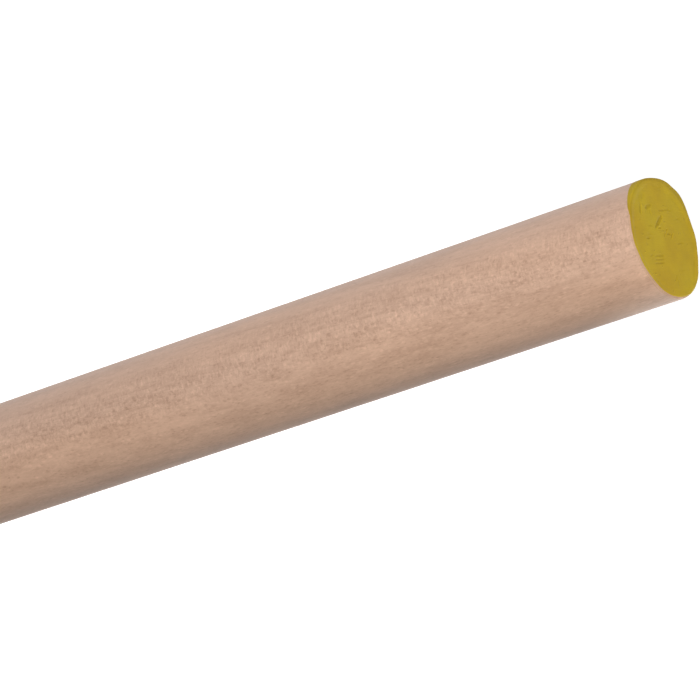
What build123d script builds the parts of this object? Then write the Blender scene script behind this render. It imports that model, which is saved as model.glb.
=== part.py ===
from build123d import *
import os

# A plain hardwood dowel rod, one inch across and three feet long, in millimetres.
#
# The rod is one piece of wood, moulded round, sanded along its length and sawn square at
# both ends. The sandpaper takes the sharp corner, the arris, off each sawn end. One end is
# painted, as timber yards do to mark a rod's diameter, and the paint is a thin film that
# covers the sawn face and thins out over its arris. The other end is bare end grain.
#
# Frame: +Z runs along the rod towards the painted end. The origin is the centre of the bare
# end, which is the face that the rod stands on.

# --- Driving dimensions ---
ROD_DIAMETER = 25.4      # the nominal size, one inch
ROD_LENGTH = 914.4       # the wood alone, sawn face to sawn face, 36 inches
ARRIS_WIDTH = 0.35       # what the sandpaper takes off each corner, on the side and on the face
PAINT_THICKNESS = 0.12   # one brushed coat on the flat of the sawn face

PARTS_FOLDER = "parts"

# Both pieces take their places from these.
rod_radius = ROD_DIAMETER / 2
face_radius = rod_radius - ARRIS_WIDTH
upper_arris_foot = ROD_LENGTH - ARRIS_WIDTH

def turned(outline):
    """A solid turned about the rod's axis. The outline is half of its section, as (radius, height)."""
    section = Polyline([(radius, 0, height) for radius, height in outline], close=True)
    return revolve(make_face(section), Axis.Z)

def dowel_rod():
    """The wood, which is solid right through, with an arris round each end."""
    return turned([
        (0, 0),
        (face_radius, 0),
        (rod_radius, ARRIS_WIDTH),
        (rod_radius, upper_arris_foot),
        (face_radius, ROD_LENGTH),
        (0, ROD_LENGTH),
    ])

def end_paint():
    """The paint: even over the face, and drawn out to nothing at the foot of the arris."""
    return turned([
        (0, ROD_LENGTH),
        (face_radius, ROD_LENGTH),
        (rod_radius, upper_arris_foot),
        (face_radius, ROD_LENGTH + PAINT_THICKNESS),
        (0, ROD_LENGTH + PAINT_THICKNESS),
    ])

def main():
    """Writes each piece to its own STEP file, named after the piece."""
    pieces = {"dowel_rod": dowel_rod(), "end_paint": end_paint()}
    os.makedirs(PARTS_FOLDER, exist_ok=True)
    for name, piece in pieces.items():
        export_step(piece, os.path.join(PARTS_FOLDER, name + ".step"))
        print(f"{name}: {piece.volume:.1f} mm3, top at {piece.bounding_box().max.Z:.2f} mm")

main()
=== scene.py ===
# %% [markdown]
# # A hardwood dowel rod with a painted end
#
# A dowel rod is about the simplest thing that a woodworker buys: one stick of hardwood,
# moulded round and sanded, sawn square at both ends, with one end dabbed in paint so that
# its diameter can be told in the rack. With a shape this plain, the finish carries the look.
# So this lesson spends a little on the mesh, and most of its cells on wood and paint.
#
# The measured part comes first, from model.glb. It says how long and how thick the rod is
# and where its paint lies. All that follows is fitted to that part.

# %% Load the measured part
import math
import random

import bmesh
import bpy
from mathutils import Matrix, Vector


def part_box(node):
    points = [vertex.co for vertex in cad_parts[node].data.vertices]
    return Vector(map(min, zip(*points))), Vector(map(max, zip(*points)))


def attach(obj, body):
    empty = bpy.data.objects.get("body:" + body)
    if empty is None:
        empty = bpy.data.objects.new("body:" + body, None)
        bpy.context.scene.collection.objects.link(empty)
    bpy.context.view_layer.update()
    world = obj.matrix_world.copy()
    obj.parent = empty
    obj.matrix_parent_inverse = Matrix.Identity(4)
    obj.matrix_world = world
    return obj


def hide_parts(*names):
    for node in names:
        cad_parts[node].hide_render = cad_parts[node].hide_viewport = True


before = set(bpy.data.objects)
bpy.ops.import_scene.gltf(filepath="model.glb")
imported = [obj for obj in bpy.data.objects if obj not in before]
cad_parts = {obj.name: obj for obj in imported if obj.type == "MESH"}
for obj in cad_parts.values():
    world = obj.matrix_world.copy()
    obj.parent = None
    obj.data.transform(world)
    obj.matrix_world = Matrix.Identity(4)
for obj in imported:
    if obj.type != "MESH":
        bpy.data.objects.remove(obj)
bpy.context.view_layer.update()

MM = 0.001

# %% [markdown]
# ## Reading the rod's sizes
#
# Every size below is read from the measured part, so the looks follow if the part changes.
# The paint's box starts at the foot of the arris, which is the small slope that sandpaper
# leaves where a corner was, and it ends on top of the film.

# %% Sizes
wood_low, wood_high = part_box("dowel_rod")
paint_low, paint_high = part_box("end_paint")

rod_radius = (wood_high.x - wood_low.x) / 2
rod_length = wood_high.z - wood_low.z
arris = wood_high.z - paint_low.z
film = paint_high.z - wood_high.z
top = paint_high.z
print(f"rod {2 * rod_radius / MM:.1f} mm across, {rod_length / MM:.1f} mm long")
print(f"arris {arris / MM:.2f} mm, paint {film / MM:.2f} mm thick")

# %% [markdown]
# ## Opening, picking and closing
#
# Modelling by hand is a round of three moves: clear the selection, select some faces or
# edges, and run one operator on them. In a script a test does the selecting. These helpers
# do the first two moves, so each cell below is left with the third.

# %% Helpers for modelling
def fresh_start(*chosen):
    """Selects only the chosen objects for the next operator."""
    bpy.ops.object.select_all(action="DESELECT")
    for piece in chosen:
        piece.select_set(True)
        bpy.context.view_layer.objects.active = piece


def edit(piece):
    """Opens one piece for editing."""
    fresh_start(piece)
    bpy.ops.object.mode_set(mode="EDIT")


def done():
    """Closes the piece that is open."""
    bpy.ops.object.mode_set(mode="OBJECT")


def pick(kind, wanted):
    """In edit mode, selects the vertices, edges or faces for which wanted(item) is true."""
    bpy.ops.mesh.select_mode(type={"verts": "VERT", "edges": "EDGE", "faces": "FACE"}[kind])
    bpy.ops.mesh.select_all(action="DESELECT")
    mesh = bmesh.from_edit_mesh(bpy.context.object.data)
    picked = [item for item in getattr(mesh, kind) if wanted(item)]
    for item in picked:
        item.select_set(True)
    mesh.select_flush_mode()
    bmesh.update_edit_mesh(bpy.context.object.data)
    return len(picked)


# %% [markdown]
# ## Tests, and soft moves
#
# A test says which edges or faces are wanted: those of a rim, or the flat ones that look up
# or down. A soft move takes along what lies within its reach, less and less further out.

# %% Tests and soft moves
TOUCH = 0.01 * MM     # nearer than this counts as touching
FLAT = 0.9999         # a face is level if its normal is this nearly upright


def rim_at(height):
    """A test for the edges that run round the rod at a height."""
    return lambda edge: all(
        abs(corner.co.z - height) < TOUCH and corner.co.xy.length > 0.99 * rod_radius
        for corner in edge.verts
    )


def face_up(face):
    return face.normal.z > FLAT


def face_down(face):
    return face.normal.z < -FLAT


def softly(reach, falloff="SMOOTH"):
    """Settings with which a move drags its neighbours along, as a soft brush would."""
    return dict(use_proportional_edit=True, proportional_edit_falloff=falloff, proportional_size=reach)


print("a face is level within", round(math.degrees(math.acos(FLAT)), 1), "degrees")

# %% [markdown]
# ## The rod, from a cylinder
#
# A moulder cuts a square blank round in one pass, so a cylinder primitive is a fair start.
# It could stay a cylinder and fake its corners with shading, but a real sawn end catches
# light on its arris, so both arrises are modelled, each rounded in four steps.

# %% The blank
AROUND = 160          # facets round the rod, fine enough for a smooth outline close up
SANDED = 0.02 * MM    # taken off all round by the last sanding
ARRIS_STEPS = 4       # steps across each rounded arris

fresh_start()
bpy.ops.mesh.primitive_cylinder_add(
    vertices=AROUND, radius=rod_radius - SANDED, depth=rod_length,
    location=(0, 0, rod_length / 2), end_fill_type="NGON",
)
rod = bpy.context.object
rod.name = "dowel_rod_wood"
bpy.ops.object.transform_apply(location=True, rotation=True, scale=True)
bpy.ops.object.mode_set(mode="EDIT")
for end, height in (("painted", rod_length), ("bare", 0)):
    print("rim edges,", end, "end:", pick("edges", rim_at(height)))
    bpy.ops.mesh.bevel(offset=arris, segments=ARRIS_STEPS, affect="EDGES")
done()

# %% [markdown]
# ## The crushed fibres under the paint
#
# A saw leaves the cut fibres a little lower than the edge that sandpaper has closed up, and
# the first coat of paint fills that hollow. So the hidden face is inset twice, which leaves
# a flat lip and a slope, and what lies within is pushed down. It also gives the film enough
# body to be dented further on.

# %% Sink the face under the paint
HOLLOW = 0.36 * MM    # how far the cut fibres lie under the arris
LIP = 0.7 * MM        # how wide the closed-up edge is
SLOPE = 0.3 * MM      # and how wide the slope within it


def sink_face(test, by):
    """Insets the flat face that passes the test by the lip and the slope, and moves it down."""
    bpy.ops.object.mode_set(mode="EDIT")
    pick("faces", test)
    bpy.ops.mesh.inset(thickness=LIP, depth=0)
    bpy.ops.mesh.inset(thickness=SLOPE, depth=0)
    bpy.ops.transform.translate(value=(0, 0, -by))
    done()


fresh_start(rod)
sink_face(face_up, HOLLOW)
print(f"fibres lie {HOLLOW / MM:.2f} mm below the arris")

# %% [markdown]
# ## Rings along the rod
#
# A moulded rod isn't perfectly straight-sided: the cutters and the sander leave it a few
# hundredths of a millimetre fat or thin here and there, so a highlight on it wavers. To
# hold that shape the long faces need rings. Subdividing only the long edges cuts them into
# rings without touching the ends. It takes two goes, because one go stops at a hundred
# cuts: the first gives three lengths, and the second their rings.

# %% Cut the rings
LENGTHS = 3
RINGS = 100


def runs_along(edge):
    """True for the side's long edges, and false for the short ones on its arrises."""
    a, b = (corner.co for corner in edge.verts)
    return abs(a.z - b.z) > 2 * MM and (a - b).xy.length < TOUCH


edit(rod)
for parts in (LENGTHS, RINGS):
    pick("edges", runs_along)
    bpy.ops.mesh.subdivide(number_cuts=parts - 1, quadcorner="STRAIGHT_CUT")
done()
print("rod faces:", len(rod.data.polygons))

# %% [markdown]
# ## Insets across the bare end
#
# The sawn end is one big flat face, which can't hold any relief. Insetting it again and
# again, by the same step each time, gives rings of small faces. The last one, a few tenths
# of a millimetre across, is closed by merging it to its centre.

# %% A face of rings
BARE_RING = 0.3 * MM    # how wide a ring of the bare end is


def ring_face(test, radius, step):
    """Insets the flat face that passes the test into rings, and closes the middle."""
    bpy.ops.object.mode_set(mode="EDIT")
    pick("faces", test)
    rings = int(radius / step) - 1
    for _ in range(rings):
        bpy.ops.mesh.inset(thickness=radius / (rings + 1), depth=0)
    bpy.ops.mesh.merge(type="CENTER")
    done()
    return rings


print("rings on the bare end:", ring_face(face_down, rod_radius - arris, BARE_RING))

# %% [markdown]
# ## A map for the rod
#
# When the wood is painted onto a flat map, the map should spend its points where the wood
# has detail. Wood changes quickly across the grain and slowly along it. So the rod's side
# is cut into lengths that lie one above the other, each stretched to the map's full
# width, and the small space left over holds the two ends. Automatic unwrapping would lay
# the whole rod down once, as a line too thin to hold any grain.

# %% Lay the side and the ends on the map
STRIPS = 2            # lengths of the side, one above the other
STRIP_HEIGHT = 0.41   # each one's share of the map's height
EDGE = 0.004          # clear edge round each piece of the map


def side_place(corner, facet, strip):
    """Where a corner of the side goes. The facet says which turn of the angle it is on."""
    turn = math.atan2(corner.y, corner.x) / math.tau
    turn += round(facet - turn)
    along = corner.z / rod_length * STRIPS - strip
    return (EDGE + along * (1 - 2 * EDGE), strip * (STRIP_HEIGHT + EDGE) + EDGE + turn * STRIP_HEIGHT)


def end_place(corner, painted):
    """Where a corner of either end goes: in a row above the strips."""
    room = 1 - STRIPS * (STRIP_HEIGHT + EDGE) - 2 * EDGE
    middle = (0.5 * room + EDGE + (room + EDGE) * painted, 1 - 0.5 * room - EDGE)
    spread = 0.47 * room / rod_radius
    return (middle[0] + corner.x * spread, middle[1] + corner.y * spread)


mesh = bmesh.new()
mesh.from_mesh(rod.data)
layer = mesh.loops.layers.uv.new("OFBake")
for face in mesh.faces:
    middle = face.calc_center_median()
    on_end = abs(face.normal.z) > 0.5
    facet = (math.atan2(middle.y, middle.x) / math.tau) % 1
    strip = min(STRIPS - 1, int(middle.z / rod_length * STRIPS))
    for loop in face.loops:
        corner = loop.vert.co
        if on_end:
            loop[layer].uv = end_place(corner, middle.z > rod_length / 2)
        else:
            loop[layer].uv = side_place(corner, facet, strip)
mesh.to_mesh(rod.data)
mesh.free()
spots = [loop.uv for loop in rod.data.uv_layers["OFBake"].data]
print("map spans", [round(f(spot[k] for spot in spots), 3) for k in (0, 1) for f in (min, max)])

# %% [markdown]
# ## Giving the wood its unevenness
#
# The Displace modifier pushes the surface along its normal by a pattern. The pattern is
# read through an empty, and the empty's scale is what makes the swells long and narrow.
# A middle level of 1 only ever takes wood away, as cutters do, so the rod never grows past
# its measured size.

# %% Displacing by a pattern
def displace(piece, texture, size, depth, direction="NORMAL", place=(0, 0, 0), turn=0, group=""):
    """Sinks a piece's surface by up to a depth, in a pattern whose grain has the given size."""
    fresh_start()
    bpy.ops.object.empty_add(location=place, rotation=(0, 0, turn))
    ruler = bpy.context.object
    ruler.scale = size
    bpy.context.view_layer.update()
    fresh_start(piece)
    relief = piece.modifiers.new("relief", "DISPLACE")
    relief.texture = texture
    relief.texture_coords = "OBJECT"
    relief.texture_coords_object = ruler
    relief.direction = direction
    relief.strength = depth
    relief.mid_level = 1.0
    relief.vertex_group = group
    bpy.ops.object.modifier_apply(modifier=relief.name)
    bpy.data.objects.remove(ruler)


SWELL_SIZE = (9 * MM, 9 * MM, 45 * MM)
SWELL_DEPTH = 0.04 * MM

swells = bpy.data.textures.new("swells", "CLOUDS")
swells.noise_depth = 1
displace(rod, swells, SWELL_SIZE, SWELL_DEPTH)
print("rod after sanding:", [round(side / MM, 2) for side in rod.dimensions])

# %% [markdown]
# ## Saw marks on the bare end
#
# A chop saw's blade is a big disc that swings down through the rod, so each tooth leaves
# a shallow arc about the blade's distant hub. Rings about an empty that stands where the
# hub was give just that. The marks only move inwards along Z, and a vertex group keeps them
# on the sawn face.

# %% Saw marks
BLADE_RADIUS = 125 * MM
TOOTH_STEP = 1.1 * MM
TOOTH_DEPTH = 0.035 * MM
RING_UNIT = math.tau / 20     # the spacing of the wood pattern's rings, before its empty is scaled


def group_of(piece, name, wanted):
    """Makes a vertex group of the points that pass the test, and says how many there are."""
    edit(piece)
    count = pick("verts", wanted)
    piece.vertex_groups.new(name=name)
    bpy.ops.object.vertex_group_assign()
    done()
    return count


sawn = group_of(rod, "sawn_face", lambda corner: corner.co.z < 2 * TOUCH)
blade = bpy.data.textures.new("blade", "WOOD")
blade.wood_type = "RINGNOISE"
blade.noise_basis_2 = "SIN"
blade.noise_scale = 0.6
blade.turbulence = 1.5
hub = (-0.8 * BLADE_RADIUS, 0.6 * BLADE_RADIUS, 0)
displace(rod, blade, [TOOTH_STEP / RING_UNIT] * 3, -TOOTH_DEPTH, "Z", place=hub, group="sawn_face")
print("points on the sawn face:", sawn)

# %% [markdown]
# ## The paint film
#
# Paint on an end is a skin: its underside is the wood's face and arris, and its outside is
# softer, because wet paint draws back from a corner. It starts as a squat cylinder the size
# of the skin's box. The top corner gets a round bevel almost as deep as the cylinder. The
# underside is inset and pushed up, so that it sits on the wood, and then sunk into the
# hollow of the crushed fibres.

# %% The film's outside and underside
ROUNDED = 0.95          # how much of the skin's height its round corner takes
FILM_RING = 0.18 * MM   # how wide a ring of the film's face is
skin_height = arris + film

fresh_start()
bpy.ops.mesh.primitive_cylinder_add(
    vertices=2 * AROUND, radius=rod_radius, depth=skin_height,
    location=(0, 0, top - skin_height / 2), end_fill_type="NGON",
)
paint = bpy.context.object
paint.name = "end_paint_film"
bpy.ops.object.transform_apply(location=True, rotation=True, scale=True)
bpy.ops.object.mode_set(mode="EDIT")
pick("edges", rim_at(top))
bpy.ops.mesh.bevel(offset=ROUNDED * skin_height, segments=6, affect="EDGES")
pick("faces", face_down)
bpy.ops.mesh.inset(thickness=arris, depth=0)
bpy.ops.transform.translate(value=(0, 0, arris))
done()
sink_face(face_down, HOLLOW)
print("rings on the paint:", ring_face(face_up, rod_radius - skin_height, FILM_RING))

# %% [markdown]
# ## Pulling a rim
#
# A soft move of a few points pulls a rim out or in. It also drags whatever lies nearby, so
# the rings that must stay are hidden while their neighbours move. Places round the rim are
# given as bearings, in degrees.

# %% Helpers for the rim
def turned(corner, bearing):
    """How many degrees a corner lies away from a bearing."""
    own = math.degrees(math.atan2(corner.co.y, corner.co.x))
    return abs((own - bearing + 180) % 360 - 180)


def towards(bearing, length):
    """A move of some length outwards at a bearing, or inwards if it is negative."""
    return (length * math.cos(math.radians(bearing)), length * math.sin(math.radians(bearing)), 0)


def pull_rim(piece, wanted, middle, spread, reach, falloff="SMOOTH", move=None, scale=None):
    """Moves or scales the wanted points near a bearing. Points that aren't wanted stay."""
    edit(piece)
    pick("verts", wanted)
    bpy.ops.mesh.hide(unselected=True)
    count = pick("verts", lambda corner: not corner.hide and turned(corner, middle) < spread)
    soft = softly(reach, falloff)
    if move:
        bpy.ops.transform.translate(value=move, **soft)
    if scale:
        bpy.ops.transform.resize(value=(scale, scale, 1), center_override=(0, 0, top), **soft)
    bpy.ops.mesh.reveal(select=False)
    done()
    return count


print("one millimetre towards 90 degrees:", [round(part / MM, 2) for part in towards(90, 1 * MM)])

# %% [markdown]
# ## Where the paint ran over, and where it stopped short
#
# The end was dabbed, not masked, so the film isn't centred. On one side it stops at the
# inner edge of the arris and leaves the corner of the wood bare. On the other it ran over:
# it hangs from the rim in a bead, and its lower edge creeps a little way down the side. A
# knock has pushed in the rim of the wood and the paint together.

# %% Shift the film's edge
BEAD, SHOULDER, RUN = 134, 115, 180     # the bearings of the bead, of its shoulder, and of the run
SHORT, LAP, KNOCK = -56, -98, 60        # and of the short side, of a lap in it, and of the knock


def foot(corner):
    return corner.co.z < top - skin_height + TOUCH


def above_foot(corner):
    return not foot(corner)


def rim(corner):
    return corner.co.xy.length > 0.9 * rod_radius


def upper_end(corner):
    return corner.co.z > top - 5 * MM


moved = {
    "run": pull_rim(paint, foot, RUN, 2, 10.5 * MM, "LINEAR", move=(0, 0, -1.8 * MM)),
    "rounded": pull_rim(paint, foot, RUN, 2, 3.0 * MM, move=(0, 0, 0.3 * MM)),
    "bead": pull_rim(paint, above_foot, BEAD, 3, 8.0 * MM, move=towards(BEAD, 1.0 * MM)),
    "shoulder": pull_rim(paint, above_foot, SHOULDER, 2, 4.5 * MM, move=towards(SHOULDER + 35, 0.75 * MM)),
    "short": pull_rim(paint, rim, SHORT, 41, 8.5 * MM, scale=0.971),
    "shortest": pull_rim(paint, rim, SHORT, 3, 3.5 * MM, move=towards(SHORT, -0.2 * MM)),
    "lap": pull_rim(paint, rim, LAP, 2, 3.4 * MM, move=towards(LAP, 0.2 * MM)),
}
for piece in (rod, paint):
    inwards = towards(KNOCK, -0.4 * MM)
    moved["knock, " + piece.name] = pull_rim(piece, upper_end, KNOCK, 6, 4 * MM, move=inwards)
print("points moved:", moved)

# %% [markdown]
# ## The fat edge
#
# Wet paint is drawn to an edge and dries a little thicker there. So the middle of the face
# lies lower than a band along the rim. The middle's points are picked and lowered, and the
# soft falloff turns the step into a slope.

# %% Lower the middle of the film
FAT_EDGE = 1.4 * MM     # width of the thick band
FAT = 0.13 * MM         # how far it stands above the middle
inner = rod_radius - skin_height - FAT_EDGE

edit(paint)
count = pick("verts", lambda corner: corner.co.z > top - TOUCH and corner.co.xy.length < inner)
bpy.ops.transform.translate(value=(0, 0, -FAT), **softly(0.8 * FAT_EDGE))
done()
print("points in the middle:", count)

# %% [markdown]
# ## End grain showing through the paint
#
# Paint shrinks as it dries and lets the wood under it show: faint arcs of the growth rings,
# and the drag of the brush. Both are sunk into the film's face. The arcs are centred on the
# tree's pith, which lay far outside this stick, so they are nearly straight.

# %% Rings and brush marks in the film
PITH = Vector((-61.0, 23.0)) * MM     # where the tree's middle was, seen from the rod's
RING_STEP = 2.3 * MM
RING_DEPTH = 0.03 * MM
BRUSH_DEPTH = 0.05 * MM
BRUSH_SIZE = (0.5 * MM, 2.6 * MM, 1 * MM)
BRUSH_TURN = math.radians(-10)

painted = group_of(paint, "painted_face", lambda corner: corner.co.z > top - FAT - TOUCH)
growth = bpy.data.textures.new("growth", "WOOD")
growth.wood_type = "RINGNOISE"
growth.noise_basis_2 = "SAW"
growth.noise_scale = 1.2
growth.turbulence = 1.2
displace(
    paint, growth, [RING_STEP / RING_UNIT] * 3, RING_DEPTH, "Z",
    place=(PITH.x, PITH.y, 0), group="painted_face",
)
brush = bpy.data.textures.new("brush", "CLOUDS")
brush.noise_depth = 2
displace(paint, brush, BRUSH_SIZE, BRUSH_DEPTH, "Z", turn=BRUSH_TURN, group="painted_face")
print("points on the painted face:", painted)

# %% [markdown]
# ## How a dent is pressed
#
# The end has been knocked about in the rack. A dent is made as by hand: the points along a
# short stroke are picked and pushed down with a soft move. Paint that is pushed out of a
# dent stands up beside it, so each stroke is followed by a thinner one that is raised. The
# ends of a stroke are shares of the rod's radius, and its width and depth are lengths.

# %% Pressing a dent
LIP_ASIDE = 0.72      # where the lip stands, as a share of the stroke's width
LIP_WIDTH = 0.5       # how wide it is, as a share of that width
LIP_HEIGHT = 0.4      # how high it is, as a share of the stroke's depth


def press(start, end, width, depth):
    """Pushes a stroke into the film's face, and says how many points it took."""
    a, b = Vector(start) * rod_radius, Vector(end) * rod_radius
    run = b - a

    def near(corner):
        share = max(0, min(1, (corner.co.xy - a).dot(run) / run.length_squared))
        reach = 0.3 * width * math.sin(math.pi * (0.12 + 0.76 * share)) + 0.05 * MM
        return corner.co.z > top - 0.3 * MM and (corner.co.xy - a - share * run).length < reach

    count = pick("verts", near)
    bpy.ops.transform.translate(value=(0, 0, -depth), **softly(0.4 * width))
    return count


def dent(start, end, width, depth):
    """Presses a stroke, and raises a low lip along one side of it."""
    start, end = Vector(start), Vector(end)
    along = (end - start).normalized()
    beside = Vector((-along.y, along.x))
    if beside.x + 0.3 * beside.y < 0:
        beside = -beside
    lip = beside * LIP_ASIDE * width / rod_radius
    count = press(start, end, width, depth)
    press(start + lip, end + lip, LIP_WIDTH * width, -LIP_HEIGHT * depth)
    return count


def part_way(stroke):
    """A point nearly half way along a stroke, where its deeper half starts."""
    return Vector(stroke[0]).lerp(Vector(stroke[1]), 0.4)


print("a dent 0.1 mm deep gets a lip of", round(0.1 * LIP_HEIGHT, 3), "mm")

# %% [markdown]
# ## The dents that stand out
#
# Five marks can be told apart: a gash, a chip, a scrape, a shallow bruise, and a rake of
# three lines side by side, as a row of teeth leaves. The gash and the chip get a second, wider
# press over one half, because a real blow goes in deeper at one end than at the other.

# %% Press the dents
GASH = ((-0.213, -0.150), (-0.338, 0.132))
CHIP = ((-0.555, -0.270), (-0.575, -0.090))
CHIP_HEEL = (-0.500, -0.235)
SCRAPE = ((-0.500, -0.480), (-0.640, -0.380))
BRUISE = ((-0.715, -0.390), (-0.760, -0.200))
RAKE = ((0.215, -0.470), (0.255, -0.205))
RAKE_STEP = Vector((0.056, -0.03))

before = [corner.co.z for corner in paint.data.vertices]
edit(paint)
print("gash:", dent(*GASH, width=0.75 * MM, depth=0.12 * MM))
press(part_way(GASH), GASH[1], width=1.3 * MM, depth=0.09 * MM)
print("chip:", dent(*CHIP, width=0.9 * MM, depth=0.10 * MM))
press(part_way(CHIP), CHIP_HEEL, width=1.0 * MM, depth=0.08 * MM)
print("scrape:", dent(*SCRAPE, width=0.7 * MM, depth=0.12 * MM))
print("bruise:", press(*BRUISE, width=1.5 * MM, depth=0.06 * MM))
for k in range(3):
    start, end = (Vector(point) + k * RAKE_STEP for point in RAKE)
    dent(start, end, width=0.42 * MM, depth=0.12 * MM)

# %% [markdown]
# ## Smaller knocks, and wear
#
# The rest is chance: two dozen small knocks, mostly along the way the brush went. Then one
# pass of smoothing, up and down only, rounds every crest as wear does.

# %% Small knocks
KNOCKS = 26
LEANS = (80, 83, 86, 125, -15)     # ways that a small knock may lie, in degrees
KNOCKED = 0.82                     # how far out they lie, as a share of the rod's radius
WORN = 0.86                        # and how far out the crests are worn

chance = random.Random(11)
pressed = 0
for _ in range(KNOCKS):
    spot = Vector((chance.uniform(-0.8, 0.8), chance.uniform(-0.8, 0.8)))
    lean = math.radians(chance.choice(LEANS) + chance.uniform(-6, 6))
    run = Vector((math.cos(lean), math.sin(lean))) * chance.uniform(0.03, 0.10)
    if (spot + run).length < KNOCKED and (spot - run).length < KNOCKED:
        width = chance.uniform(0.32, 0.5) * MM
        dent(spot - run, spot + run, width, depth=chance.uniform(0.06, 0.12) * MM)
        pressed += 1

pick("verts", lambda corner: corner.co.z > top - 0.6 * MM and corner.co.xy.length < WORN * rod_radius)
bpy.ops.mesh.vertices_smooth(factor=0.5, repeat=1, xaxis=False, yaxis=False)
done()
print("small knocks pressed:", pressed)

# %% [markdown]
# ## Noting the dents
#
# The paint's colour is painted darker in the dents, as shade, and paler on their raised
# lips, as a highlight. So that it can follow them, each point of the film is given a number:
# how far the dents pushed it down, in millimetres. The material reads it further on as an
# attribute.

# %% Dents as an attribute
dented = paint.data.attributes.new("dented", "FLOAT", "POINT")
for corner, height in zip(paint.data.vertices, before):
    dented.data[corner.index].value = (height - corner.co.z) / MM
print("deepest dent, mm:", round(max(item.value for item in dented.data), 3))

# %% [markdown]
# ## Clean meshes
#
# Both shells end closed, with doubles merged and all normals outwards. Smooth shading stops
# at thirty degrees, so the long side stays smooth and the arris keeps its crisp lines.

# %% Finish the meshes
DOUBLES = 0.002 * MM          # points nearer than this are one point
CREASE = math.radians(30)     # a sharper fold than this stays crisp

for piece in (rod, paint):
    edit(piece)
    bpy.ops.mesh.select_all(action="SELECT")
    bpy.ops.mesh.remove_doubles(threshold=DOUBLES)
    bpy.ops.mesh.normals_make_consistent(inside=False)
    done()
    bpy.ops.object.shade_smooth_by_angle(angle=CREASE)
    piece.vertex_groups.clear()
    print(piece.name, len(piece.data.polygons), "faces")

# %% [markdown]
# ## Steps that add nodes
#
# Node trees are easier to read as sums. This small class adds one node per call and hands
# back its output, so that a material below reads from top to bottom.

# %% The steps
class Steps:
    """A tree of nodes, to which each step adds one."""

    def __init__(self, tree):
        self.tree = tree

    def node(self, kind, *values, **settings):
        """Adds a node, with its settings and with values for its first sockets."""
        made = self.tree.nodes.new("ShaderNode" + kind)
        for name, setting in settings.items():
            setattr(made, name, setting)
        for socket, value in zip(made.inputs, values):
            self.feed(socket, value)
        return made

    def feed(self, socket, value):
        """Gives a socket a number, a colour, or another step's output."""
        if isinstance(value, bpy.types.NodeSocket):
            self.tree.links.new(value, socket)
        else:
            socket.default_value = value

    def vector(self, operation, *values):
        made = self.node("VectorMath", *values, operation=operation)
        return made.outputs["Value" if operation in ("LENGTH", "DOT_PRODUCT") else "Vector"]

    def maths(self, operation, *values):
        return self.node("Math", *values, operation=operation).outputs[0]

    def parts(self, place):
        """A place's x, y and z."""
        return self.node("SeparateXYZ", place).outputs

    def join(self, x, y, z):
        return self.node("CombineXYZ", x, y, z).outputs[0]

    def mix(self, share, first, second, blend="MIX"):
        made = self.node("Mix", data_type="RGBA", blend_type=blend)
        self.feed(made.inputs[0], share)
        self.feed(made.inputs[6], first)
        self.feed(made.inputs[7], second)
        return made.outputs[2]

    def between(self, value, low, high, start=0.0, end=1.0):
        """Rises smoothly from start to end as the value goes from low to high."""
        made = self.node("MapRange", value, low, high, start, end, interpolation_type="SMOOTHSTEP")
        return made.outputs[0]

    def total(self, *terms):
        """Adds up pairs of a step and its weight."""
        result = 0.0
        for step, weight in terms:
            result = self.maths("MULTIPLY_ADD", step, weight, result)
        return result


def steps_of(kind):
    """The names of a class's steps."""
    return [name for name in vars(kind) if not name.startswith("_")]


print("the steps are", steps_of(Steps))

# %% [markdown]
# ## Patterns
#
# Two patterns make all the marks on this rod. A cloudy noise gives what has soft limits,
# and Voronoi cells give separate lumps. Drawn out along the grain, a lump is a pore or a
# ray. Places and sizes are in millimetres.

# %% The patterns
class Patterns(Steps):
    """Steps that draw a pattern."""

    def pattern(self, kind, place, size):
        """A pattern's node, read so that its lumps have the given size."""
        made = self.node(kind, self.vector("DIVIDE", place, size))
        made.inputs["Scale"].default_value = 1.0
        return made

    def noise(self, place, size, detail=2.0, rough=0.5):
        """A cloudy pattern about 0, mostly within -0.5 to 0.5."""
        made = self.pattern("TexNoise", place, size)
        made.inputs["Detail"].default_value = detail
        made.inputs["Roughness"].default_value = rough
        return self.maths("SUBTRACT", made.outputs[0], 0.5)

    def ragged(self, place, size, amount):
        """The same place, pushed about a little, so that lumps get ragged edges."""
        made = self.pattern("TexNoise", place, size)
        made.inputs["Detail"].default_value = 1.0
        push = self.vector("SUBTRACT", made.outputs["Color"], (0.5, 0.5, 0.5))
        return self.vector("MULTIPLY_ADD", push, amount, place)

    def grains(self, place, size, inner, outer, share=1.0):
        """Separate lumps of the given size, 1 inside and 0 outside. Only a share is kept."""
        made = self.pattern("TexVoronoi", place, size)
        lump = self.between(made.outputs["Distance"], outer, inner)
        if share < 1:
            chance = self.parts(made.outputs["Color"])[0]
            lump = self.maths("MULTIPLY", lump, self.between(chance, share + 0.15, share - 0.15))
        return lump


print("the patterns are", steps_of(Patterns))

# %% [markdown]
# ## A recipe for a material
#
# A recipe is a material with all of these steps, and a few that turn a tone into a colour
# and a height into relief. Its place is on the object's own coordinates, so the grain runs
# through the solid and comes out right on the side and on the ends.

# %% The recipe
def shade(colour, factors):
    """A colour with each channel changed by its own factor."""
    return (*(part * by for part, by in zip(colour, factors)), 1.0)


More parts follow.
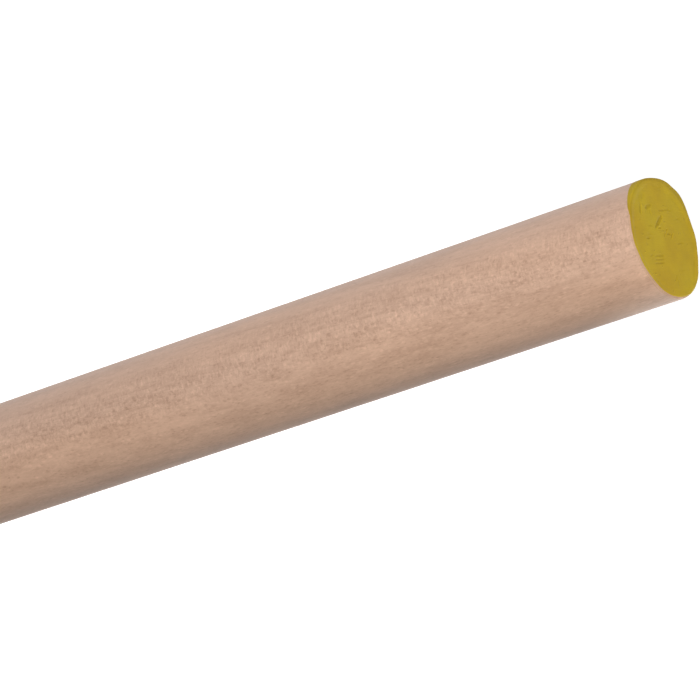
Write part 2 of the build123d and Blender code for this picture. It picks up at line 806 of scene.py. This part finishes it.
class Recipe(Patterns):
    """A material, with the steps that make it."""

    def __init__(self, name):
        self.material = bpy.data.materials.new(name)
        self.material.use_nodes = True
        super().__init__(self.material.node_tree)
        self.shader = self.tree.nodes["Principled BSDF"]
        self.place = self.vector("MULTIPLY", self.node("TexCoord").outputs["Object"], [1 / MM] * 3)

    def toned(self, tone, base, dark, pale):
        """The base colour, darker where the tone is below 0 and paler where it is above."""
        below = self.maths("MAXIMUM", self.maths("MULTIPLY", tone, -2.0), 0.0)
        above = self.maths("MAXIMUM", self.maths("MULTIPLY", tone, 2.0), 0.0)
        return self.mix(above, self.mix(below, (*base, 1.0), shade(base, dark)), shade(base, pale))

    def dyed(self, colour, share, first, second):
        """A colour multiplied by the first dye, or by the second as the share goes to 1."""
        dye = self.mix(share, (*first, 1.0), (*second, 1.0))
        return self.mix(1.0, colour, dye, blend="MULTIPLY")

    def bump(self, height):
        """Turns a height in millimetres into a bump."""
        made = self.node("Bump")
        self.feed(made.inputs["Height"], height)
        made.inputs["Distance"].default_value = MM
        made.inputs["Strength"].default_value = 1.0
        self.feed(self.shader.inputs["Normal"], made.outputs["Normal"])


print("a recipe adds", steps_of(Recipe))

# %% [markdown]
# ## The wood: which way its grain runs
#
# Grain is never quite parallel to the rod. It wanders, so that the short marks on the side
# lean one way here and the other way there. The whole pattern is slid sideways by a slow
# wave along the rod and by a soft noise, and every mark below is read from the slid place.

# %% Grain direction
WOOD = (0.556, 0.354, 0.247)
WAVE_LENGTH = 560     # millimetres from one crest of the wave to the next
WAVE_SIZE = 5.0       # millimetres that the grain is carried sideways

wood = Recipe("sanded_hardwood")
x, y, z = wood.parts(wood.place)


def wave(length, phase, size):
    """A slow wave along the rod."""
    swing = wood.maths("MULTIPLY_ADD", z, math.tau / length, phase)
    return wood.maths("MULTIPLY", wood.maths("SINE", swing), size)


wander = wood.noise(wood.place, (9, 9, 60), detail=1)
wander_2 = wood.noise(wood.vector("ADD", wood.place, (31, 17, 5)), (9, 9, 60), detail=1)
run_x = wood.total((wander, 3.0), (wave(WAVE_LENGTH, 3.25, -WAVE_SIZE), 1.0), (x, 1.0))
run_y = wood.total((wander_2, 3.0), (wave(470, 1.1, 4.0), 1.0), (y, 1.0))
grain = wood.join(run_x, run_y, z)
lean = math.degrees(WAVE_SIZE * math.tau / WAVE_LENGTH)
print("the grain's wave leans up to", round(lean, 1), "degrees")

# %% [markdown]
# ## The wood: growth rings and rays
#
# Two things are laid out about the pith. Growth rings are shells round it, each ending in
# a thin darker line. Rays are thin upright blades that point at it. Where the side of the
# rod cuts across the blades they show as short dark dashes, and where it runs along them
# they show as broad pale flecks. One set of lumps, long towards the pith, thin across and
# taller along the rod, gives both, and the radial lines of the end grain too.

# %% Rings and rays
def about_pith(recipe, place):
    """A place as the pith sees it: how far out, round and along it lies, in millimetres."""
    x, y, z = recipe.parts(recipe.vector("SUBTRACT", place, (PITH.x / MM, PITH.y / MM, 0)))
    out = recipe.vector("LENGTH", recipe.join(x, y, 0))
    around = recipe.maths("MULTIPLY", recipe.maths("ARCTAN2", y, x), PITH.length / MM)
    return out, around, z


out, around, along = about_pith(wood, grain)
ring_wobble = wood.noise(grain, (6, 6, 80), detail=1)
ring = wood.maths("FRACT", wood.total((out, MM / RING_STEP), (ring_wobble, 0.8)))
late = wood.maths("MULTIPLY", wood.between(ring, 0.55, 0.93), wood.between(ring, 1.0, 0.95))

blades = wood.ragged(wood.join(out, around, along), (0.5, 0.3, 0.8), (0.5, 0.22, 0.8))
rays = wood.grains(blades, (2.4, 0.55, 1.9), 0.18, 0.32, share=0.6)
fine_rays = wood.grains(wood.vector("ADD", blades, (7, 3, 11)), (1.3, 0.32, 1.1), 0.18, 0.34, share=0.6)
flecks = wood.grains(wood.vector("ADD", blades, (3, 19, 5)), (2.6, 0.6, 1.7), 0.2, 0.36, share=0.5)
print("ring spacing", RING_STEP / MM, "mm, pith", round(PITH.length / MM), "mm away")

# %% [markdown]
# ## The wood: pores, fibre and patches
#
# Pores are tubes along the grain, so they are lumps drawn out many times their width. Fibre
# is a fine noise drawn out the same way. On top of them lie patches: small ones a few
# millimetres across, and slow ones in which the wood turns pinker or greyer.

# %% Pores, fibre and patches
pores = wood.grains(grain, (0.36, 0.36, 5.0), 0.12, 0.26, share=0.55)
fibre = wood.noise(grain, (0.26, 0.26, 1.6), detail=3, rough=0.6)
fuzz = wood.noise(grain, (0.5, 0.5, 0.9), detail=2)
mottle = wood.noise(grain, (1.7, 1.7, 6.0), detail=2)
patch = wood.noise(wood.vector("ADD", grain, (40, 0, 9)), (4.5, 4.5, 16), detail=2)
streak = wood.noise(grain, (2.6, 2.6, 90), detail=2)
drift = wood.noise(wood.vector("ADD", grain, (0, 70, 3)), (13, 13, 70), detail=1)
hair = wood.grains(wood.vector("ADD", grain, (5, 9, 2)), (2.6, 2.6, 26), 0.04, 0.09, share=0.5)
marks = wood.noise(grain, (0.36, 0.36, 1.7), detail=2)
dashes = wood.between(marks, -0.08, -0.15)
glints = wood.between(marks, 0.08, 0.15)
print("steps in the wood so far:", len(wood.tree.nodes))

# %% [markdown]
# ## The wood: silver grain
#
# In two bands on opposite sides the surface runs along the blades, and there the rays show
# as silver grain: crowded little ribbons, dark or pale, that lie across the rod. How nearly
# the surface runs along the blades says how strongly they show.

# %% Silver grain
flat = wood.join(x, y, 0)
across_blades = Vector((-PITH.y, PITH.x)).normalized()
share_across = wood.vector("DOT_PRODUCT", flat, (across_blades.x, across_blades.y, 0))
squarely = wood.maths("DIVIDE", wood.maths("ABSOLUTE", share_across), wood.vector("LENGTH", flat))
silver = wood.between(squarely, 0.80, 1.0)

ribbon = wood.noise(wood.vector("ADD", blades, (2, 8, 31)), (1.1, 0.6, 0.44), detail=1)
crowding = wood.noise(wood.vector("ADD", grain, (12, 4, 50)), (3, 3, 7), detail=1)
dark_from = wood.maths("MULTIPLY_ADD", crowding, 0.30, -0.12)
pale_from = wood.maths("MULTIPLY_ADD", crowding, 0.20, 0.12)
silver_grain = wood.total(
    (wood.between(wood.maths("SUBTRACT", ribbon, dark_from), 0.03, -0.03), -0.125),
    (wood.between(wood.maths("SUBTRACT", ribbon, pale_from), -0.03, 0.03), 0.13),
)
strongest = math.degrees(math.atan2(across_blades.y, across_blades.x))
print("silver grain is strongest at", round(strongest), "degrees, and opposite")

# %% [markdown]
# ## The wood: one tone out of all its marks
#
# The marks are added up, each with its own weight, into one tone. On the sawn end the rings,
# rays and pores are cut square across and stand out most. The side towards the pith is
# plainer than the rest, so every mark is softened there.

# %% Wood tone
PLAIN = 0.68          # what the plain side keeps of each mark

end_grain = wood.between(z, arris / MM, 0.1 * arris / MM)
end_marks = wood.total((late, -0.24), (rays, -0.12), (pores, -0.16))
tone = wood.total(
    (silver_grain, silver), (end_marks, end_grain),
    (rays, -0.12), (fine_rays, -0.11), (flecks, 0.11), (dashes, -0.08), (glints, 0.08), (fuzz, 0.18),
    (pores, -0.06), (late, -0.05), (hair, -0.16), (fibre, 0.25),
    (mottle, 0.31), (patch, 0.33), (streak, 0.24), (drift, 0.13),
)
strength = wood.between(x, -0.85 * rod_radius / MM, -0.2 * rod_radius / MM, PLAIN, 1.0)
tone = wood.maths("MULTIPLY", tone, strength)
print("steps in the wood's tone:", len(wood.tree.nodes))

# %% [markdown]
# ## The wood: colour
#
# The tone is a plain number about 0. Darker wood is also redder, and lighter wood is paler,
# so the number mixes three colours: a deep brown, the wood's own pinkish tan, and a cream.
# The hue drifts a little at random along the stick. The side of the stick towards the side
# light is painted cooler and greyer, as a painted reflection, and the opposite side warmer
# and a little darker, as painted shade. The sawn end drinks light between its cut fibres and
# looks deeper, and at the painted end the arris is painted darker, as shade.

# %% Wood colour
WHITE = (1.0, 1.0, 1.0)

colour = wood.toned(tone, WOOD, dark=(0.56, 0.50, 0.44), pale=(1.42, 1.46, 1.50))
blush = wood.maths("MULTIPLY_ADD", drift, 1.6, 0.5)
colour = wood.dyed(colour, blush, (0.985, 1.005, 1.03), (1.015, 0.995, 0.965))
# Cooler and greyer towards -X, where the side light stands: a painted reflection. Warmer and a little
# darker towards +X: painted shade.
across = wood.between(x, -rod_radius / MM, rod_radius / MM)
colour = wood.dyed(colour, across, (0.985, 1.00, 1.035), (0.985, 0.96, 0.915))
colour = wood.dyed(colour, end_grain, WHITE, (0.80, 0.76, 0.70))
# The arris just under the painted end is darkened: painted shade.
arris_shade = wood.between(z, (rod_length - 1.05 * arris) / MM, (rod_length - 0.9 * arris) / MM)
colour = wood.dyed(colour, arris_shade, WHITE, (0.85, 0.83, 0.77))
wood.feed(wood.shader.inputs["Base Color"], colour)
print("steps in the wood's colour:", len(wood.tree.nodes))

# %% [markdown]
# ## The wood: sheen and relief
#
# Sanded wood is dull but not even: fibre and rays are a little smoother than the pores. The
# fine relief is a few hundredths of a millimetre: rays and pores lie low, fibre stands up.
# The loosest fibres stand up as a fuzz that catches light at a low angle, which greys the
# rod towards its edges. A little cool sheen gives that.

# %% Wood roughness and bump
DULL = 0.60

rough = wood.total((fibre, 0.25), (mottle, 0.12), (rays, -0.06), (pores, 0.08), (end_grain, 0.14))
wood.feed(wood.shader.inputs["Roughness"], wood.maths("ADD", rough, DULL))
wood.shader.inputs["Specular IOR Level"].default_value = 0.3
wood.shader.inputs["Sheen Weight"].default_value = 0.1
wood.shader.inputs["Sheen Tint"].default_value = (0.58, 0.82, 1.0, 1.0)
wood.shader.inputs["Sheen Roughness"].default_value = 0.6
wood.bump(wood.total(
    (rays, -0.016), (fine_rays, -0.010), (pores, -0.012), (fibre, 0.035), (fuzz, 0.015), (mottle, 0.02),
))
rod.data.materials.append(wood.material)
print("wood:", len(wood.tree.nodes), "nodes")

# %% [markdown]
# ## The paint: marks of the brush
#
# A flat ochre marking paint, brushed on thick and dried matt. Seen close it isn't one
# colour. The brush dragged fine lines over it and scored it. Each score is drawn twice in
# the colour: dark as painted shade, and a little aside pale as a painted highlight, as a
# groove looks in a side light. The wood's rays, much fainter, show through.

# %% Brush marks
YELLOW = (0.468, 0.319, 0.0160)
# the pale copy of each groove, a painted highlight, lies this far aside from its dark copy, which is
# painted shade
ASIDE = 0.26          # millimetres from the dark side of a groove to its lit side

coat = Recipe("yellow_end_paint")
x, y = coat.parts(coat.place)[:2]
flat = coat.join(x, y, 0)
blades = coat.join(*about_pith(coat, flat))
lines = coat.grains(blades, (2.6, 0.5, 1), 0.1, 0.34, share=0.35)


def swept(angle):
    """The flat of the face, turned by an angle in degrees."""
    made = coat.node("VectorRotate", flat, rotation_type="Z_AXIS")
    made.inputs["Angle"].default_value = math.radians(angle)
    return made.outputs[0]


def groove(angle, aside, size, share):
    """Short scores that lie across an angle, for relief and painted shade, or the same ones moved aside by
    some millimetres, for a painted highlight.
    """
    place = coat.vector("SUBTRACT", swept(angle), (aside, 0, 0))
    return coat.grains(coat.ragged(place, (0.4, 1, 1), (0.1, 0.3, 0)), size, 0.06, 0.15, share=share)


drag = coat.noise(swept(10), (0.35, 3.0, 1), detail=2)
# Each score and nick is drawn dark as painted shade, and again moved aside and pale as a painted
# highlight.
scores_shade_and_relief, scores_painted_highlight = (groove(10, aside, (0.9, 3.4, 1), 0.35) for aside in (0, ASIDE))
nicks_shade_and_relief, nicks_painted_highlight = (groove(-24, aside, (0.9, 2.4, 1), 0.22) for aside in (0, ASIDE))
specks = coat.grains(coat.vector("ADD", flat, (4, 4, 0)), (1.3, 1.3, 1), 0.08, 0.2, share=0.25)
print("steps in the brush marks:", len(coat.tree.nodes))

# %% [markdown]
# ## The paint: pools, and painted shade and highlights
#
# Where paint pools it dries deeper in colour, and where it is thin it dries paler. The
# dents are painted darker, as shade, and their lips paler, as a highlight, as each point's
# number says. A band just inside the rim, wider on one side, is painted darker as shade.

# %% Pools, painted shade and highlights
cloud = coat.noise(flat, (4, 4, 1), detail=2)
pool = coat.noise(coat.vector("ADD", flat, (40, 0, 0)), (10, 10, 1), detail=0)
grit = coat.noise(coat.place, (0.3, 0.3, 0.3), detail=2)

depth = coat.node("Attribute", attribute_name="dented").outputs["Fac"]
# Painted shade in the dents, and a painted highlight on their raised lips.
dent_shade = coat.between(depth, 0.02, 0.13)
lip_highlight = coat.between(depth, -0.01, -0.04)

# A band just inside the rim, set off centre so that it is wider on one side, is painted shade.
inner_rim = (rod_radius - arris) / MM
off_centre = coat.vector("SUBTRACT", flat, (0.15, 0.15, 0))
rim_shade = coat.between(coat.vector("LENGTH", off_centre), inner_rim - 0.35, inner_rim + 0.2)
print(f"grime lies about {inner_rim:.1f} mm from the middle")

# %% [markdown]
# ## The paint: colour
#
# As with the wood, all the marks add up to one tone, which makes the ochre deeper or paler.
# The pools also turn it a little redder, and the thin patches a little greener.

# %% Paint colour
# The dark scores and nicks are painted shade and their moved copies painted highlights; the dents are
# painted darker as shade, their lips paler as a highlight, and a band inside the rim darker as shade.
tone = coat.total(
    (lines, -0.06), (drag, 0.13), (scores_shade_and_relief, -0.26), (nicks_shade_and_relief, -0.22), (specks, -0.16),
    (scores_painted_highlight, 0.19), (nicks_painted_highlight, 0.16),
    (cloud, 0.30), (pool, 0.26), (grit, 0.12), (dent_shade, -0.19), (lip_highlight, 0.12), (rim_shade, -0.16),
)
colour = coat.toned(tone, YELLOW, dark=(0.50, 0.48, 0.40), pale=(1.45, 1.5, 1.9))
thin = coat.maths("MULTIPLY_ADD", pool, 2.0, 0.5)
colour = coat.dyed(colour, thin, (1.03, 0.985, 1.0), (0.975, 1.015, 1.0))
coat.feed(coat.shader.inputs["Base Color"], colour)
print("steps in the paint's colour:", len(coat.tree.nodes))

# %% [markdown]
# ## The paint: finish
#
# Marking paint is nearly all pigment, so it is rough and hardly shines. The grit of the
# pigment and the grooves of the brush are a few hundredths of a millimetre deep.

# %% Paint roughness and bump
MATT = 0.78

coat.shader.inputs["Specular IOR Level"].default_value = 0.22
rough = coat.total((grit, 0.2), (cloud, 0.15), (drag, 0.1), (lines, -0.05))
coat.feed(coat.shader.inputs["Roughness"], coat.maths("ADD", rough, MATT))
coat.bump(coat.total(
    (lines, -0.02), (drag, 0.05), (scores_shade_and_relief, -0.05), (nicks_shade_and_relief, -0.04), (specks, -0.04), (grit, 0.02),
))
paint.data.materials.append(coat.material)
print("paint:", len(coat.tree.nodes), "nodes")

# %% [markdown]
# ## Taking the measured part's place
#
# Each visible piece rides on the one body and takes the place of its measured twin, which
# is hidden.

# %% Dress the part
for piece, node, slot in ((rod, "dowel_rod", "bare_wood"), (paint, "end_paint", "yellow_paint")):
    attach(piece, "root")
    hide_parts(node)
    print(piece.name, "takes the place of", node)

# %% [markdown]
# ## White that lights little
#
# A ground could be made white by lighting it until it burns out, but that much light would
# come back up and flatten the rod. So the ground and the sky are two things at once: plain
# white to the camera and in reflections, and a much weaker light to everything else. The
# kind of ray that arrives says which of the two it gets.

# %% White glow
FLOOR_OWN = 0.5       # light that the floor gives back to the rod
FLOOR_GLOW = 0.94     # what it adds when looked at, so that it comes out white
FOOT_GLOW = 0.68      # the same near the foot, where the lamps already light it well


def white_glow(steps, own, glow):
    """One strength for the camera and for reflections, and another for all other light."""
    path = steps.node("LightPath").outputs
    seen = path["Is Camera Ray"]
    for kind in ("Is Glossy Ray", "Is Transmission Ray"):
        seen = steps.maths("MAXIMUM", seen, path[kind])
    return steps.node("MapRange", seen, 0.0, 1.0, own, glow).outputs[0]


print("floor gives back", FLOOR_OWN, "and glows", FOOT_GLOW, "to", FLOOR_GLOW)

# %% [markdown]
# ## The floor
#
# One big plane. Its own share stays matt, so the rod still shades it. The lamps light the
# floor most about the rod's foot, so there the glow is turned down to match. A glow as
# strong as elsewhere would drown the shadow.

# %% Floor
FADE_FROM, FADE_TO = 200, 900     # millimetres from the foot where the glow starts to rise, and is full

fresh_start()
bpy.ops.mesh.primitive_plane_add(size=30, location=(0, 0, 0))
floor = bpy.context.object
floor.name = "studio_floor"

ground = Recipe("white_floor")
ground.tree.nodes.remove(ground.shader)
from_foot = ground.vector("LENGTH", ground.place)
rising = ground.between(from_foot, FADE_FROM, FADE_TO, FOOT_GLOW, FLOOR_GLOW)
matt = ground.node("BsdfDiffuse", (FLOOR_OWN, FLOOR_OWN, FLOOR_OWN, 1))
glow = ground.node("Emission", (1, 1, 1, 1), white_glow(ground, 0.0, rising))
both = ground.node("AddShader", matt.outputs[0], glow.outputs[0])
ground.feed(ground.tree.nodes["Material Output"].inputs["Surface"], both.outputs[0])
floor.data.materials.append(ground.material)
print("floor is", round(floor.dimensions.x), "m across")

# %% [markdown]
# ## An even sky
#
# A studio's white walls send a little light from all round, so that no side of the rod goes
# black. The world does the same: weak where it lights the rod, and plain white where the
# camera looks past the floor.

# %% World
SKY = 0.12            # the even light from all round

world = bpy.data.worlds.new("studio")
bpy.context.scene.world = world
world.use_nodes = True
sky = Steps(world.node_tree)
backdrop = sky.tree.nodes["Background"]
backdrop.inputs["Color"].default_value = (1, 1, 1, 1)
sky.feed(backdrop.inputs["Strength"], white_glow(sky, SKY, 1.0))
print("the sky lights the rod at", SKY, "and looks white")

# %% [markdown]
# ## Soft boxes
#
# Five of them. The broad side light stands level with the painted end and well round to one
# side, so that it rakes the end's face and picks out its dents. A second broad one fills the
# front, and a third keeps the far side from going dark. Two small ones close to the head
# lift the first few centimetres, and the rod falls off gently away from them.

# %% Soft boxes
head = Vector((0, 0, top))
aim = head - Vector((0, 0, 80 * MM))     # every box is turned towards this point


def stand(name, data, place, target):
    """Stands a lamp in the scene, and turns it towards a target."""
    lamp = bpy.data.objects.new(name, data)
    bpy.context.scene.collection.objects.link(lamp)
    lamp.location = place
    lamp.rotation_euler = (target - place).to_track_quat("-Z", "Y").to_euler()
    print(name, "stands at", [round(part, 2) for part in place])


def softbox(name, azimuth, elevation, distance, size, power):
    """A square soft lamp. Angles are in degrees, lengths in metres, and the power in watts."""
    a, e = math.radians(azimuth), math.radians(elevation)
    away = Vector((math.cos(a) * math.cos(e), math.sin(a) * math.cos(e), math.sin(e)))
    data = bpy.data.lights.new(name, "AREA")
    data.shape = "SQUARE"
    data.size = size
    data.energy = power
    stand(name, data, aim + away * distance, aim)


softbox("side_light", azimuth=-203, elevation=0, distance=1.6, size=1.2, power=9.3)
softbox("front_light", azimuth=-105, elevation=0, distance=1.6, size=1.2, power=10.8)
softbox("back_light", azimuth=73, elevation=0, distance=1.6, size=0.6, power=20.0)
softbox("head_light", azimuth=-103, elevation=35, distance=0.6, size=0.4, power=1.8)
softbox("low_light", azimuth=-45, elevation=65, distance=0.6, size=0.4, power=1.7)

# %% [markdown]
# ## A little light from beyond the head
#
# The rod's underside is dark, but not in its last centimetre or two, where cool light comes
# round the end. A small lamp behind a snoot, with a soft edge, gives just that. Its bulb has
# to be small, because a big one would blur so narrow a pool of light away.

# %% Snooted lamp
SNOOT_BEARING = math.radians(32)
SNOOT_DISTANCE = 0.6
SNOOT_WIDTH = math.radians(3.7)

data = bpy.data.lights.new("snoot", "SPOT")
data.energy = 10.0
data.color = (0.80, 0.92, 1.0)
data.shadow_soft_size = 6 * MM
data.spot_size = SNOOT_WIDTH
data.spot_blend = 1.0
spot = head - Vector((0, 0, 2 * MM))
away = Vector((math.cos(SNOOT_BEARING), math.sin(SNOOT_BEARING), -0.03))
stand("snoot", data, spot + away * SNOOT_DISTANCE, spot)
pool_width = 2 * SNOOT_DISTANCE * math.tan(SNOOT_WIDTH / 2)
print("the snoot's pool of light is", round(pool_width / MM), "mm wide")

# %% [markdown]
# ## Camera
#
# A long lens nearly a metre from the head, looking down about a third of a right angle and
# rolled by most of a quarter turn, so that the rod lies across the view and runs out of it.
# The Standard view shows each colour as it was written.

# %% Camera
LENS, SENSOR = 235.9, 36      # millimetres
FROM_HEAD = Vector((0.95, -807.0, 440.7)) * MM
TILT = math.radians(32.81)    # how far it looks down
ROLL = math.radians(71.30)    # how far it is rolled

data = bpy.data.cameras.new("camera")
data.lens = LENS
data.sensor_width = SENSOR
camera = bpy.data.objects.new("camera", data)
bpy.context.scene.collection.objects.link(camera)
bpy.context.scene.camera = camera
camera.location = head + FROM_HEAD
turn = Matrix.Rotation(math.pi / 2 - TILT, 3, "X") @ Matrix.Rotation(ROLL, 3, "Z")
camera.rotation_euler = turn.to_euler()

bpy.context.scene.view_settings.view_transform = "Standard"
print("camera stands", round(FROM_HEAD.length / MM), "mm from the head")

# %% [markdown]
# ## The measured part's size
#
# The looks mustn't grow past the measured part.
